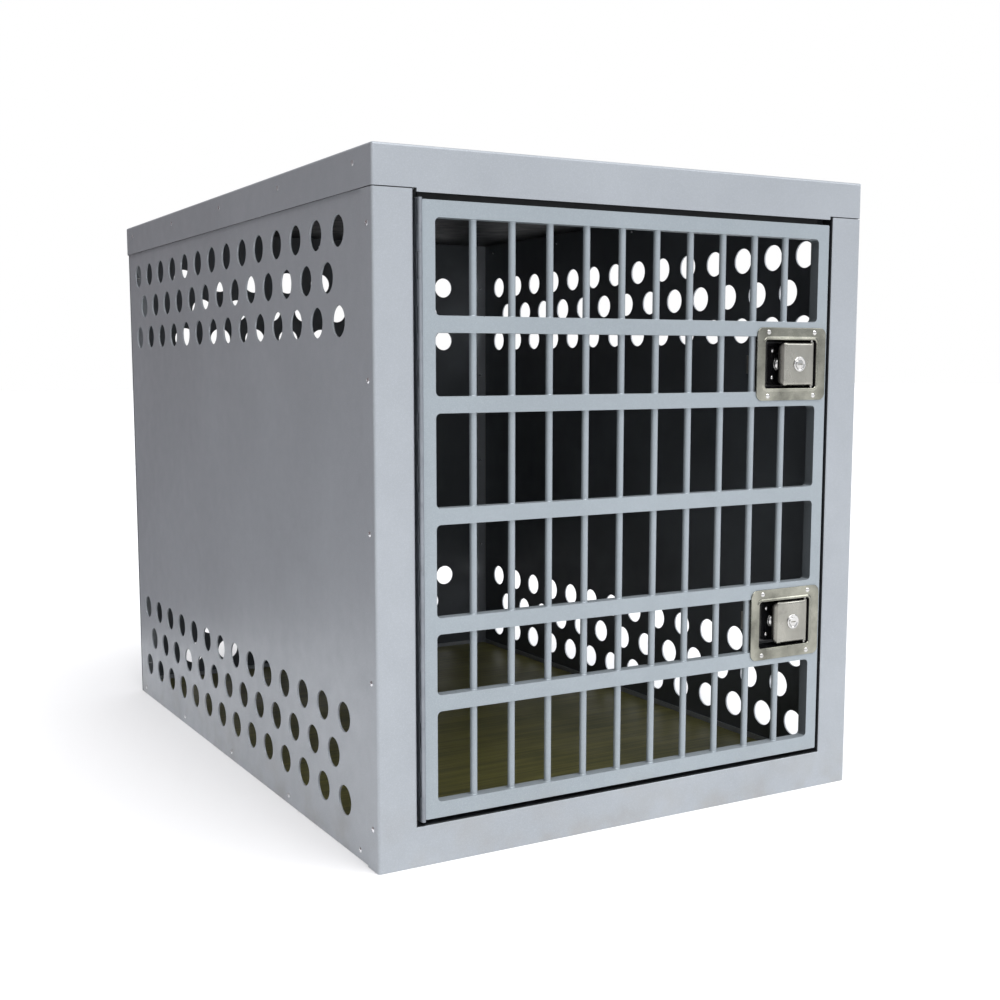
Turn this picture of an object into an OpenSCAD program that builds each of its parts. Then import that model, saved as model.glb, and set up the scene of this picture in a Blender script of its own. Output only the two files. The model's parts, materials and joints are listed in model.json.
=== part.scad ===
// Kennel cage: a riveted sheet-metal box with vent holes, a barred door on a continuous hinge,
// and two flush paddle latches that each draw back a spring bolt.
// Millimetres, +Z up, the door faces -Y, the origin is under the middle of the whole cage.

/* [Body] */
// Width over the cap
body_w = 625; // [560:5:760]
// Depth over the cap
body_d = 875; // [760:5:1000]
// Height over the cap
body_h = 711; // [690:1:780]
// Thickness of every body sheet
sheet_t = 2; // [1.6:0.1:2]
// Outer radius of the bends
bend_r = 3; // [2.5:0.5:4]
// Depth of the cap's flanges
cap_h = 40; // [34:1:46]
// How much further the cap's front flange drops between the stiles
cap_drop = 3.7; // [2:0.1:4]
// Thickness of the floor board
board_t = 13; // [6:1:15]

/* [Front frame] */
// Width of each stile
stile_w = 44; // [40:1:50]
// Height of the sill
sill_h = 42.5; // [40:0.5:46]
// Width of the flange that wraps each front corner
flange_w = 25; // [22:1:30]
// Depth of the door jamb
jamb_d = 15.7; // [15.5:0.1:16]
// Width of the lip behind each jamb
lip_w = 15; // [14:1:18]

/* [Vent holes] */
// Diameter of a vent hole
vent_d = 32; // [20:1:36]
// Spacing of the holes along a row
vent_pitch = 56.7; // [50:0.1:64]
// Spacing of the rows
vent_row_pitch = 44.6; // [40:0.1:46]
// Height of the lowest row
vent_low_z = 51.5; // [48:0.5:60]
// Height of the highest row, measured down from the top
vent_top_drop = 74.6; // [70:0.1:80]
// Distance from the front face to the first hole of the side rows
vent_front = 86; // [70:1:100]
// Least distance from the last hole of a side row to the back
vent_back = 50; // [45:1:60]

/* [Door] */
// Thickness of the door frame
door_t = 12.7; // [12.5:0.1:13]
// Gap at the door's right edge
edge_gap = 4.6; // [4:0.1:5.5]
// Gap above the door
top_gap = 6.4; // [5:0.1:7]
// Gap below the door
sill_gap = 5; // [4:0.1:6]
// Width of the door's left stile
door_left_w = 14.1; // [12:0.1:18]
// Width of the door's right stile
door_right_w = 15.2; // [12:0.1:16]
// Height of the door's top and bottom rails
rail_h = 16.3; // [14:0.1:18]
// Height of each cross bar
bar_h = 16.5; // [16:0.1:18]
// Height of the two short rows, which hold the latches
short_row_h = 62; // [60:0.5:63]
// Radius of the window corners
window_r = 5; // [3:0.5:8]
// Diameter of a rod
rod_d = 7.5; // [6:0.5:8]

/* [Hinge] */
// Radius of the hinge barrel
barrel_r = 2.4; // [2.2:0.1:2.6]
// Radius of the hinge pin
hinge_pin_r = 1.15; // [1:0.05:1.3]
// Thickness of the hinge leaves
leaf_t = 1.2; // [1:0.1:1.3]
// Number of knuckles
knuckle_count = 24; // [12:2:30]

/* [Latches] */
// Width of the latch's face plate
latch_w = 102; // [98:1:103]
// Height of the latch's face plate
latch_h = 82; // [78:1:82]
// Width of the finger recess
dish_w = 75.5; // [74:0.5:76]
// Height of the finger recess
dish_h = 54; // [52:0.5:54]
// Depth of the finger recess
dish_d = 15.5; // [15:0.5:16]
// Distance from the middle of the face plate to the edge of the cage
latch_inset = 101.5; // [101:0.5:102]
// Width of the paddle
paddle_w = 46; // [44:0.5:48]
// Height of the paddle
paddle_h = 50; // [46:0.5:50]
// Diameter of the lock plug's face
lock_d = 17.4; // [14:0.2:19]
// Length of the paddle's tail, from its pin to the middle of the tip
tail_l = 25; // [24.5:0.1:25.2]

/* [Rivets] */
// Radius of a rivet's head
head_r = 2.9; // [2.4:0.1:3.4]
// Height of a rivet's head
head_h = 1.2; // [0.8:0.1:1.5]
// Radius of a rivet's shank
shank_r = 1.6; // [1.4:0.1:1.8]
// Spacing of the rivets along the top and bottom edges
edge_rivet_pitch = 200; // [160:5:220]
// Spacing of the rivets up the corners
corner_rivet_pitch = 148.5; // [140:0.5:150]

/* [Hidden] */
rod_count = 10; // upright rods: the last is in three pieces, because the latches fill the short rows
rod_names = [for (i = [1 : rod_count - 1]) str("door_rod_", i)];

$fn = 48;
run_gap = 0.05; // radial clearance of a pin that turns
fix_gap = 0.02; // radial clearance of a pin that is fixed
eps = 1; // how far a cutter runs past the face it cuts
lap = 0.4; // how far shapes of one piece run into each other
sill_end = 4; // the sill's channel stops this far inside the stiles' flanges

paint = [0.69, 0.72, 0.77];
paint_side = [0.55, 0.57, 0.61];
zinc = [0.72, 0.70, 0.64];
steel = [0.60, 0.61, 0.62];
board_brown = [0.30, 0.27, 0.14];

// The object is drawn from its left front bottom corner: X right, Y back, Z up.
front_proud = barrel_r + 0.4; // the hinge barrel stands furthest forward
y_shift = -(body_d + head_h - front_proud) / 2;

// Layers of sheet, counted inwards from the cap's face
skin_1 = sheet_t;
skin_2 = 2 * sheet_t;
skin_3 = 3 * sheet_t;
seam = 1; // gap between the cap and the stiles
wall_top = body_h - sheet_t;
cap_edge_z = body_h - cap_h;
back_flange_w = 25;
pan_flange_h = 20;
board_gap = 2.5;

// Opening in the front frame
open_x0 = stile_w;
open_x1 = body_w - stile_w;
open_z0 = sill_h;
open_z1 = cap_edge_z - cap_drop;
stop_h = 8; // height of the lip that stops the door, above the sill

// Hinge
leaf_off = barrel_r + 0.3; // outer face of a leaf, from the pin's axis
leaf_start = barrel_r + 0.5; // a leaf's plate starts clear of the other leaf's knuckles
hinge_x = stile_w + 6.2;
hinge_y = -0.4;
hinge_over = 1.5; // the hinge is this much longer than the door at each end

// Door outline
door_x0 = hinge_x + leaf_off;
door_x1 = open_x1 - edge_gap;
door_z0 = open_z0 + sill_gap;
door_z1 = open_z1 - top_gap;
door_h = door_z1 - door_z0;
window_x0 = door_x0 + door_left_w;
window_x1 = door_x1 - door_right_w;
window_w = window_x1 - window_x0;
bar_count = 5;
tall_row_h = (door_h - 2 * rail_h - bar_count * bar_h - 2 * short_row_h) / 4;
row_h = [tall_row_h, short_row_h, tall_row_h, tall_row_h, short_row_h, tall_row_h];
// Bottom of row i, counted from the lowest
function sum_rows(i) = i <= 0 ? 0 : row_h[i - 1] + sum_rows(i - 1);
function row_z(i) = door_z0 + rail_h + i * bar_h + sum_rows(i);
rod_pitch = window_w / (rod_count + 1);
rod_y = door_t / 2;
rod_seat = 9; // how far a rod runs into the rail or bar that ends it
function rod_x(i) = window_x0 + i * rod_pitch;

// Latches: index 0 is the lower one. Their parts are drawn around the middle of the face plate.
latch_x = body_w - latch_inset;
latch_row = [1, 4];
function latch_z(k) = row_z(latch_row[k]) + short_row_h / 2;
plate_t = 1.5;
bead_proud = 1.1;
bead_w = 3.5;
dish_r = 3.5;
dish_x = -1.75; // middle of the recess, left of the middle of the plate
pin_x = 32.5;
pin_y = 2.2;
paddle_pin_r = 1.5;
knuckle_r = pin_y + 0.5;
paddle_t = 2.2;
paddle_corner_r = 7;
tail_w = 8;
tail_t = 3;
tip_r = 2;
lock_x = 12.5;
lock_r = 7.4;
lock_back = 11;
cam_t = 2;
stud_x = -3;
small_rivet_x = [-13, 10];
small_rivet_z = 15.5;
corner_rivet_x = [-34.5, 33.5];
corner_rivet_z = 35.7;
shell_y = dish_d + plate_t; // back of the dish
bolt_y0 = 24;
bolt_y1 = 34.3;
bolt_mid_y = (bolt_y0 + bolt_y1) / 2;
bolt_half = 8.8;
bolt_x0 = -6;
bolt_x1 = 64.5;
bolt_bore_r = 3.2;
bolt_bore_l = 28;
slide_gap = 0.3;
house_x0 = -34;
house_x1 = 36;
house_t = 1.5;
house_y = bolt_y1 + slide_gap + house_t;
house_half = bolt_half + slide_gap + house_t;
foot_w = 12;
spring_r = 2.4;
spring_wire_r = 0.5;
spring_turns = 9;
spring_l = 41;
corner_rivet_l = 12;

// Rivet places
cap_rivet_z = body_h - 15;
pan_rivet_z = 10;
corner_rivet_z0 = 43;
flange_rivet = 12.5;
corner_rivet_zs = [for (k = [0 : 4]) corner_rivet_z0 + k * corner_rivet_pitch];
cap_rivet_ys = [for (y = [43 : edge_rivet_pitch - 0.5 : body_d - 30]) y];
pan_rivet_ys = [for (y = [48 : edge_rivet_pitch : body_d - 25]) y];
back_rivet_n = floor((body_w - 2 * back_flange_w - 20) / edge_rivet_pitch);
back_rivet_xs = [for (k = [0 : back_rivet_n]) body_w / 2 + (k - back_rivet_n / 2) * edge_rivet_pitch];
lip_rivet_n = 6;
hinge_l = door_h + 2 * hinge_over;
hinge_z0 = door_z0 - hinge_over;
hinge_rivet_zs = [for (k = [0 : lip_rivet_n]) hinge_z0 + hinge_l * (k + 0.5) / (lip_rivet_n + 1)];
keeper_t = bolt_y0 - 0.5 - jamb_d; // the block reaches back to just in front of the bolt
keeper_half = 22;
keeper_rivet_z = 16;

// Moves the corner-based drawing to the object's own frame.
module placed() {
    translate([-body_w / 2, y_shift, 0]) children();
}

// Moves a latch part to its place on the door.
module at_latch(k) {
    placed() translate([latch_x, 0, latch_z(k)]) children();
}

// A copy of the left side's shape on the right.
module right_copy() {
    translate([body_w, 0, 0]) mirror([1, 0, 0]) children();
}

// A flat rectangle with round corners, its low corner at the origin.
module rounded(w, h, r) {
    translate([r, 0]) square([w - 2 * r, h]);
    translate([0, r]) square([w, h - 2 * r]);
    for (x = [r, w - r], y = [r, h - r]) translate([x, y]) circle(r);
}

// A round bar or bore along each axis, from its start point.
module along_x(l, r) {
    rotate([0, 90, 0]) cylinder(h = l, r = r);
}
module along_y(l, r) {
    rotate([-90, 0, 0]) cylinder(h = l, r = r);
}

// A flat shape drawn in X and Z, given thickness t towards +Y.
module plate_xz(t) {
    translate([0, t, 0]) rotate([90, 0, 0]) linear_extrude(t) children();
}

// A rivet with its head towards +Z and its face at the origin; tail is the bulb's height.
module rivet(grip, tail) {
    dome_r = (head_r * head_r + head_h * head_h) / (2 * head_h);
    rotate_extrude() intersection() {
        translate([0, head_h - dome_r]) circle(dome_r, $fn = 96);
        square([head_r, head_h]);
    }
    translate([0, 0, -grip - tail]) cylinder(h = grip + tail, r = shank_r);
    if (tail > 0) translate([0, 0, -grip - tail]) cylinder(h = tail, r = 2.3);
}
module rivet_left(grip) { rotate([0, -90, 0]) rivet(grip, 1.5); }
module rivet_front(grip, tail) { rotate([90, 0, 0]) rivet(grip, tail); }
module rivet_back(grip, tail) { rotate([-90, 0, 0]) rivet(grip, tail); }

module hole_x(y, z, x0, l) { translate([x0, y, z]) along_x(l, shank_r + run_gap); }
module hole_y(x, z, y0, l) { translate([x, y0, z]) along_y(l, shank_r + run_gap); }

// The two bands of vent holes: places along a row, and the heights of the rows.
vent_ys_n = floor((body_d - vent_front - vent_back) / vent_pitch);
vent_xs_n = floor((body_w - 2 * 80) / vent_pitch);
vent_x0 = (body_w - vent_xs_n * vent_pitch) / 2;
vent_top_z = body_h - vent_top_drop;
vent_zs = [for (k = [0 : 2]) each [vent_low_z + k * vent_row_pitch, vent_top_z - k * vent_row_pitch]];

// Calls its child at each hole of a panel: (place along the row, height).
module vent_holes(start, n) {
    for (k = [0 : 2]) {
        short = k % 2;
        for (z = [vent_zs[2 * k], vent_zs[2 * k + 1]], i = [0 : n - short])
            translate([start + (i + short / 2) * vent_pitch, z]) circle(vent_d / 2);
    }
}

module cap_outer() {
    intersection() {
        translate([0, 0, cap_edge_z - cap_drop])
            linear_extrude(cap_h + cap_drop) rounded(body_w, body_d, bend_r);
        rotate([90, 0, 90]) linear_extrude(body_w)
            rounded(body_d, body_h, bend_r);
        translate([0, body_d, 0]) rotate([90, 0, 0]) linear_extrude(body_d)
            rounded(body_w, body_h, bend_r);
    }
}

module top_cap() {
    notch = stile_w + 3.5;
    color(paint) placed() difference() {
        cap_outer();
        translate([skin_1, skin_1, 0]) cube([body_w - 2 * skin_1, body_d - 2 * skin_1, wall_top]);
        // the flanges end at the seam, except between the stiles
        translate([-eps, skin_1, 0]) cube([body_w + 2 * eps, body_d, cap_edge_z]);
        translate([-eps, -eps, 0]) cube([notch + eps, skin_1 + 2 * eps, cap_edge_z]);
        translate([body_w - notch, -eps, 0]) cube([notch + eps, skin_1 + 2 * eps, cap_edge_z]);
        for (y = cap_rivet_ys) hole_x(y, cap_rivet_z, -eps, body_w + 2 * eps);
        for (x = back_rivet_xs) hole_y(x, cap_rivet_z, body_d - skin_1 - eps, skin_1 + 2 * eps);
    }
}

// The left panel: a flat wall, and a flange turned in behind the back panel's edge.
module side_panel() {
    y_end = body_d - skin_2;
    difference() {
        translate([skin_1, 0, 0]) linear_extrude(wall_top) intersection() {
            difference() {
                rounded(body_w, y_end, bend_r);
                translate([sheet_t, -eps]) square([body_w, y_end - sheet_t + eps]);
            }
            translate([0, sheet_t + 0.5]) square([back_flange_w, y_end]);
        }
        translate([skin_1 - eps, 0, 0]) rotate([90, 0, 90])
            linear_extrude(sheet_t + 2 * eps) vent_holes(vent_front, vent_ys_n);
        for (y = cap_rivet_ys) hole_x(y, cap_rivet_z, 0, skin_3);
        for (y = pan_rivet_ys) hole_x(y, pan_rivet_z, 0, skin_3);
        for (z = corner_rivet_zs) hole_x(flange_rivet, z, 0, skin_3);
        for (z = corner_rivet_zs) hole_y(skin_1 + flange_rivet, z, y_end - skin_2, skin_3);
    }
}
module left_side_panel() { color(paint_side) placed() side_panel(); }
module right_side_panel() { color(paint_side) placed() right_copy() side_panel(); }

module back_panel() {
    y0 = body_d - skin_2;
    color(paint_side) placed() difference() {
        translate([skin_1, y0, 0]) cube([body_w - 2 * skin_1, sheet_t, wall_top]);
        translate([0, y0 - eps, 0]) plate_xz(sheet_t + 2 * eps) vent_holes(vent_x0, vent_xs_n);
        for (x = back_rivet_xs) hole_y(x, cap_rivet_z, y0 - eps, skin_2);
        for (x = back_rivet_xs) hole_y(x, pan_rivet_z, y0 - eps, skin_2);
        for (x = [skin_1 + flange_rivet, body_w - skin_1 - flange_rivet], z = corner_rivet_zs)
            hole_y(x, z, y0 - eps, skin_2);
    }
}

// Section of the left stile: flange, face, jamb and lip.
module stile_section() {
    deep = flange_w + 2 * bend_r;
    difference() {
        rounded(stile_w, deep, bend_r);
        translate([sheet_t, sheet_t]) square([stile_w - 2 * sheet_t, deep]);
        translate([-eps, flange_w]) square([stile_w + 2 * eps, deep]);
        translate([stile_w / 2, jamb_d]) square([stile_w, deep]);
    }
    translate([stile_w - lip_w, jamb_d - sheet_t]) square([lip_w, sheet_t]);
}

// Section of the sill, drawn with the depth along X: face, jamb and door stop.
module sill_section() {
    difference() {
        translate([0, -2 * bend_r]) rounded(jamb_d + 2 * bend_r, sill_h + 2 * bend_r, bend_r);
        translate([sheet_t, -3 * bend_r]) square([jamb_d * 2, sill_h - sheet_t + 3 * bend_r]);
        translate([-eps, -3 * bend_r]) square([jamb_d, 3 * bend_r]);
        translate([jamb_d, 0]) square([jamb_d, sill_h + eps]);
    }
}

module front_frame() {
    stile_h = cap_edge_z - seam;
    stop_x0 = hinge_x + 4;
    color(paint) placed() difference() {
        union() {
            linear_extrude(stile_h) stile_section();
            right_copy() linear_extrude(stile_h) stile_section();
            translate([bend_r, 0, 0]) rotate([90, 0, 90])
                linear_extrude(body_w - 2 * bend_r) sill_section();
            translate([stop_x0, jamb_d - sheet_t, open_z0 - sheet_t])
                cube([body_w - 2 * stop_x0, sheet_t, stop_h + sheet_t]);
        }
        // the floor pan lies under the channel, and the side panels beside it
        translate([sheet_t, sheet_t, -eps]) cube([body_w - 2 * sheet_t, jamb_d, sheet_t + eps]);
        // the channel's top stops short of the side panels and their rivet tails
        for (x = [sheet_t, body_w - sheet_t - sill_end]) translate([x, sheet_t, sill_h / 2])
            cube([sill_end, jamb_d, sill_h]);
        for (z = corner_rivet_zs) hole_x(flange_rivet, z, -eps, sheet_t + 2 * eps);
        for (z = corner_rivet_zs) hole_x(flange_rivet, z, body_w - sheet_t - eps, sheet_t + 2 * eps);
        for (z = hinge_rivet_zs) hole_y(stile_w - lip_w / 2, z, jamb_d - skin_2, skin_3);
        for (k = [0, 1], s = [-1, 1])
            hole_y(open_x1 + lip_w / 2, latch_z(k) + s * keeper_rivet_z, jamb_d - skin_2, skin_3);
    }
}

// Behind the cap's front flange: a web, a soffit over the door and a stop lip.
module front_header() {
    soffit_z = open_z1 + sheet_t;
    stop_x0 = hinge_x + 4;
    stop_z = door_z1 - 3.5;
    color(paint) placed() {
        translate([skin_3, skin_1, cap_edge_z + seam])
            cube([body_w - 2 * skin_3, sheet_t, wall_top - cap_edge_z - seam]);
        translate([open_x0 + lap, skin_1, soffit_z])
            cube([open_x1 - open_x0 - 2 * lap, sheet_t, cap_drop + 2 * seam]);
        translate([open_x0 + lap, skin_1, soffit_z])
            cube([open_x1 - open_x0 - 2 * lap, jamb_d - skin_1, sheet_t]);
        translate([stop_x0, jamb_d - sheet_t, stop_z])
            cube([body_w - 2 * stop_x0, sheet_t, soffit_z - stop_z + sheet_t]);
    }
}

module floor_pan() {
    y_in = body_d - skin_3; // front face of the side panels' back flanges
    back_x = skin_1 + back_flange_w + 1;
    color(paint_side) placed() difference() {
        union() {
            translate([skin_2, skin_1, 0]) cube([body_w - 2 * skin_2, y_in - skin_1, sheet_t]);
            for (x = [skin_2, body_w - skin_3]) translate([x, jamb_d + 2, 0])
                cube([sheet_t, y_in - jamb_d - 2, pan_flange_h]);
            translate([back_x, y_in - lap, 0])
                cube([body_w - 2 * back_x, sheet_t + lap, sheet_t]);
            translate([back_x, y_in, 0]) cube([body_w - 2 * back_x, sheet_t, pan_flange_h]);
        }
        for (y = pan_rivet_ys) hole_x(y, pan_rivet_z, 0, body_w);
        for (x = back_rivet_xs) hole_y(x, pan_rivet_z, y_in - eps, skin_2);
    }
}

module floor_board() {
    x0 = skin_3 + board_gap;
    y0 = jamb_d + 2;
    color(board_brown) placed() translate([x0, y0, sheet_t])
        cube([body_w - 2 * x0, body_d - skin_3 - board_gap - y0, board_t]);
}

module cap_rivets() {
    color(zinc) placed() {
        for (y = cap_rivet_ys) {
            translate([0, y, cap_rivet_z]) rivet_left(skin_2);
            right_copy() translate([0, y, cap_rivet_z]) rivet_left(skin_2);
        }
        for (x = back_rivet_xs) translate([x, body_d, cap_rivet_z]) rivet_back(skin_2, 1.5);
    }
}

module front_corner_rivets() {
    color(zinc) placed() for (z = corner_rivet_zs) {
        translate([0, flange_rivet, z]) rivet_left(skin_2);
        right_copy() translate([0, flange_rivet, z]) rivet_left(skin_2);
    }
}

module back_corner_rivets() {
    color(zinc) placed() for (z = corner_rivet_zs) {
        for (x = [skin_1 + flange_rivet, body_w - skin_1 - flange_rivet])
            translate([x, body_d - skin_1, z]) rivet_back(skin_2, 1.5);
    }
}

module pan_rivets() {
    color(zinc) placed() {
        for (y = pan_rivet_ys) {
            translate([skin_1, y, pan_rivet_z]) rivet_left(skin_2);
            right_copy() translate([skin_1, y, pan_rivet_z]) rivet_left(skin_2);
        }
        for (x = back_rivet_xs) translate([x, body_d - skin_1, pan_rivet_z]) rivet_back(skin_2, 1.5);
    }
}

// Every second knuckle of the barrel, with the strip that joins it to its leaf.
// first is 0 or 1, side is -1 for the frame's leaf and 1 for the door's.
module knuckles(first, side, bore_r) {
    l = hinge_l / knuckle_count;
    strip_y = 0.8;
    for (i = [first : 2 : knuckle_count - 1]) translate([hinge_x, hinge_y, hinge_z0 + i * l]) {
        difference() {
            union() {
                translate([0, 0, 0.1]) cylinder(h = l - 0.2, r = barrel_r);
                translate([side > 0 ? leaf_off - leaf_t : -leaf_off, strip_y, 0.1])
                    cube([leaf_t, leaf_start - strip_y + lap, l - 0.2]);
            }
            translate([0, 0, -eps]) cylinder(h = l + 2 * eps, r = bore_r);
        }
    }
}

module hinge_frame_leaf() {
    foot_y = jamb_d;
    x0 = hinge_x - leaf_off;
    foot_x0 = stile_w - lip_w + 1;
    color(steel) placed() difference() {
        union() {
            knuckles(0, -1, hinge_pin_r + fix_gap);
            translate([x0, hinge_y + leaf_start, hinge_z0])
                cube([leaf_t, foot_y + leaf_t - hinge_y - leaf_start, hinge_l]);
            translate([foot_x0, foot_y, hinge_z0]) cube([x0 - foot_x0 + leaf_t, leaf_t, hinge_l]);
        }
        for (z = hinge_rivet_zs) hole_y(stile_w - lip_w / 2, z, foot_y - eps, leaf_t + 2 * eps);
    }
}

module hinge_door_leaf() {
    x0 = door_x0 - leaf_t;
    color(steel) placed() difference() {
        union() {
            knuckles(1, 1, hinge_pin_r + run_gap);
            translate([x0, hinge_y + leaf_start, hinge_z0 + hinge_over])
                cube([leaf_t, door_t - 2 - hinge_y - leaf_start, door_h]);
        }
        for (z = hinge_rivet_zs) hole_x(rod_y, z, x0 - eps, leaf_t + 2 * eps);
    }
}

module hinge_pin() {
    color(steel) placed() translate([hinge_x, hinge_y, hinge_z0]) cylinder(h = hinge_l, r = hinge_pin_r);
}

module hinge_frame_rivets() {
    color(zinc) placed() for (z = hinge_rivet_zs)
        translate([stile_w - lip_w / 2, jamb_d + leaf_t, z]) rivet_back(leaf_t + sheet_t, 1.5);
}

// Flat-headed rivets through the door leaf into the door's edge.
module hinge_door_rivets() {
    color(zinc) placed() for (z = hinge_rivet_zs) translate([door_x0 - leaf_t, rod_y, z]) {
        translate([-0.8, 0, 0]) along_x(0.8, head_r);
        translate([-0.4, 0, 0]) along_x(leaf_t + 8, shank_r);
    }
}

module keeper(k) {
    color(zinc) placed() difference() {
        translate([open_x1, jamb_d, latch_z(k) - keeper_half]) cube([lip_w, keeper_t, 2 * keeper_half]);
        for (s = [-1, 1])
            hole_y(open_x1 + lip_w / 2, latch_z(k) + s * keeper_rivet_z, jamb_d - eps, keeper_t + 2 * eps);
    }
}

module keeper_rivets() {
    color(zinc) placed() for (k = [0, 1], s = [-1, 1])
        translate([open_x1 + lip_w / 2, jamb_d + keeper_t, latch_z(k) + s * keeper_rivet_z])
            rivet_back(keeper_t + sheet_t, 1.5);
}

module door_frame() {
    bore_r = rod_d / 2 + fix_gap;
    color(paint) placed() difference() {
        plate_xz(door_t) difference() {
            translate([door_x0, door_z0]) rounded(door_x1 - door_x0, door_h, 1.5);
            for (i = [0 : bar_count])
                translate([window_x0, row_z(i)]) rounded(window_w, row_h[i], window_r);
        }
        for (i = [1 : rod_count])
            translate([rod_x(i), rod_y, door_z0 + rail_h - rod_seat])
                cylinder(h = door_h - 2 * rail_h + 2 * rod_seat, r = bore_r);
        for (k = [0, 1], x = corner_rivet_x, s = [-1, 1])
            hole_y(latch_x + x, latch_z(k) + s * corner_rivet_z, -eps, corner_rivet_l + eps);
        for (z = hinge_rivet_zs) hole_x(rod_y, z, door_x0 - eps, 8 + eps);
    }
}

// A rod from z0 to z1, with rod_seat more at each end inside the frame.
module rod(i, z0, z1) {
    color(paint) placed() translate([rod_x(i), rod_y, z0 - rod_seat])
        cylinder(h = z1 - z0 + 2 * rod_seat, r = rod_d / 2);
}
module door_rod(i) { rod(i, row_z(0), door_z1 - rail_h); }
// The last rod leaves the two short rows free for the latches.
module door_rod_10_lower() { rod(rod_count, row_z(0), row_z(1) - bar_h); }
module door_rod_10_middle() { rod(rod_count, row_z(2), row_z(4) - bar_h); }
module door_rod_10_upper() { rod(rod_count, row_z(5), door_z1 - rail_h); }

// A rounded box from y0 to y1, w by h, its middle at the dish's middle.
module dish_block(w, h, r, y0, y1) {
    translate([dish_x - w / 2, y0, -h / 2]) plate_xz(y1 - y0) rounded(w, h, r);
}

module latch_dish(k) {
    bead = plate_t + bead_proud;
    color(zinc) at_latch(k) difference() {
        union() {
            translate([-latch_w / 2, -plate_t, -latch_h / 2])
                plate_xz(plate_t) rounded(latch_w, latch_h, 8);
            dish_block(dish_w + 2 * bead_w, dish_h + 2 * bead_w, dish_r + bead_w, -bead, 0);
            dish_block(dish_w + 2 * plate_t, dish_h + 2 * plate_t, dish_r + plate_t, -plate_t, shell_y);
        }
        dish_block(dish_w, dish_h, dish_r, -bead - eps, dish_d);
        // slot for the paddle's tail
        translate([20, dish_d - eps, -tail_w / 2 - 1]) cube([15, plate_t + 2 * eps, tail_w + 2]);
        translate([pin_x, pin_y, -dish_h]) cylinder(h = 2 * dish_h, r = paddle_pin_r + fix_gap);
        translate([stud_x, dish_d - eps, 0]) along_y(plate_t + 2 * eps, 2 + fix_gap);
        for (x = small_rivet_x, s = [-1, 1]) hole_y(x, s * small_rivet_z, dish_d - eps, plate_t + 2 * eps);
        for (x = corner_rivet_x, s = [-1, 1]) hole_y(x, s * corner_rivet_z, -bead - eps, bead + 2 * eps);
    }
}

module paddle_pin(k) {
    l = dish_h + 2 * plate_t;
    color(steel) at_latch(k) translate([pin_x, pin_y, -l / 2]) cylinder(h = l, r = paddle_pin_r);
}

// A channel behind the dish that guides the bolt, with a foot along each side.
module bolt_housing(k) {
    l = house_x1 - house_x0;
    inner = bolt_half + slide_gap;
    color(steel) at_latch(k) difference() {
        union() {
            translate([house_x0, shell_y, -house_half]) cube([l, house_y - shell_y, 2 * house_half]);
            translate([house_x0, shell_y, -house_half - foot_w])
                cube([l, house_t, 2 * (house_half + foot_w)]);
        }
        translate([house_x0 + house_t, bolt_y0 - slide_gap, -inner])
            cube([l, bolt_y1 - bolt_y0 + 2 * slide_gap, 2 * inner]);
        // behind the guide lips the channel is open to the dish
        translate([house_x0 + house_t, shell_y - eps, -inner + 4])
            cube([l, bolt_y0 - shell_y + 2 * eps, 2 * inner - 8]);
        translate([house_x0 + house_t, shell_y - eps, -inner])
            cube([l, bolt_y0 - slide_gap - house_t - shell_y + eps, 2 * inner]);
        for (x = small_rivet_x, s = [-1, 1])
            hole_y(x, s * small_rivet_z, shell_y - eps, house_t + 2 * eps);
    }
}

// Section points and rings of the bolt spring, which runs along X.
module bolt_spring(k) {
    sides = 8;
    per_turn = 14;
    rings = spring_turns * per_turn;
    run = spring_l - 2 * spring_wire_r;
    points = [for (i = [0 : rings], j = [0 : sides - 1])
        let (a = 360 * i / per_turn, b = 360 * j / sides, r = spring_r + spring_wire_r * cos(b))
        [run * i / rings + spring_wire_r * sin(b), r * cos(a), r * sin(a)]];
    walls = [for (i = [0 : rings - 1], j = [0 : sides - 1])
        let (n = (j + 1) % sides)
        [i * sides + j, i * sides + n, (i + 1) * sides + n, (i + 1) * sides + j]];
    ends = [[for (j = [sides - 1 : -1 : 0]) j], [for (j = [0 : sides - 1]) rings * sides + j]];
    color(steel) at_latch(k) translate([house_x0 + house_t + spring_wire_r + 0.1, bolt_mid_y, 0])
        polyhedron(points = points, faces = concat(walls, ends));
}

module latch_rivets(k) {
    color(zinc) at_latch(k) {
        for (x = corner_rivet_x, s = [-1, 1])
            translate([x, -plate_t, s * corner_rivet_z]) rivet_front(plate_t + corner_rivet_l, 0);
        for (x = small_rivet_x, s = [-1, 1])
            translate([x, dish_d, s * small_rivet_z]) rivet_front(plate_t + house_t, 1.5);
    }
}

// A domed stud that the paddle's free edge comes to rest above, with its nut behind the dish.
module stop_stud(k) {
    dome_h = 5.5;
    dome_r = 9;
    sphere_r = (dome_r * dome_r + dome_h * dome_h) / (2 * dome_h);
    color(zinc) at_latch(k) translate([stud_x, dish_d, 0]) {
        rotate([90, 0, 0]) rotate_extrude() intersection() {
            translate([0, dome_h - sphere_r]) circle(sphere_r, $fn = 96);
            square([dome_r, dome_h]);
        }
        along_y(6, 2);
        translate([0, plate_t, 0]) rotate([-90, 0, 0]) cylinder(h = 3.5, r = 4.6, $fn = 6);
    }
}

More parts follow.
